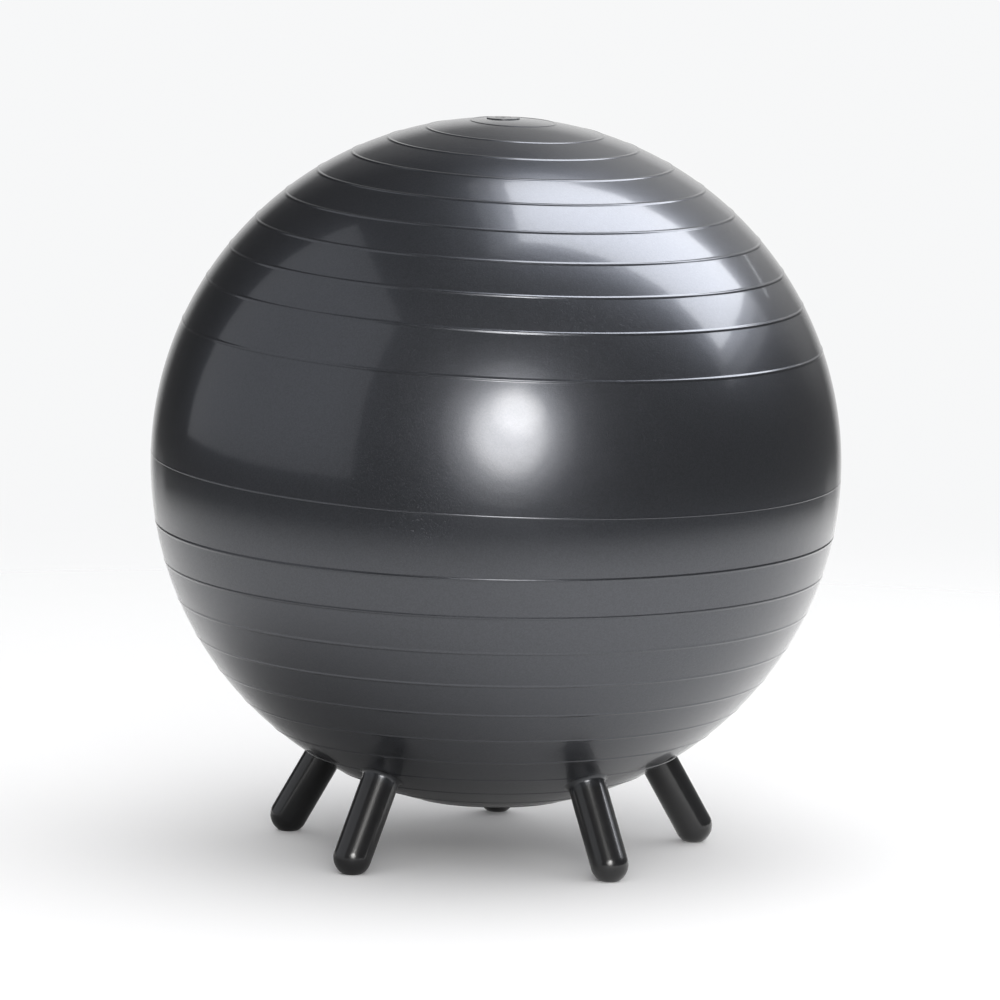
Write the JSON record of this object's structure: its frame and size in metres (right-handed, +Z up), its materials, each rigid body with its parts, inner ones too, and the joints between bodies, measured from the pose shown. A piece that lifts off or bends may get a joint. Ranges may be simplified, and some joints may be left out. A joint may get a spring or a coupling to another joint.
{
  "type": "balance ball chair",
  "caption": "Inflated ribbed ball that stands on short hollow feet spaced round its underside, with a flush air valve and pull-out plug at the top.",
  "frame": {"origin": "on the floor, under the middle of the ball and at the centre of the ring of feet", "axes": "+Z up through the valve, -Y towards the front, which lies midway between the two front feet, +X to the right seen from the front"},
  "size_m": [0.6506, 0.6506, 0.6935],
  "materials": {
    "ball_vinyl": "glossy pearl anthracite vinyl with a fine metallic fleck",
    "foot_vinyl": "glossy near-black vinyl",
    "valve_vinyl": "satin dark grey vinyl",
    "plug_plastic": "satin black plastic"
  },
  "bodies": {
    "ball": {"ball_shell": "ball_vinyl", "valve_collar": "valve_vinyl", "foot_rear": "foot_vinyl", "foot_side_left": "foot_vinyl", "foot_front_left": "foot_vinyl", "foot_front_right": "foot_vinyl", "foot_side_right": "foot_vinyl"},
    "plug": {"valve_plug": "plug_plastic"}
  },
  "joints": [
    {"name": "plug_pull", "type": "slide", "parent": "ball", "child": "plug", "axis": [0, 0, 1], "range_m": [0, 0.03]}
  ]
}
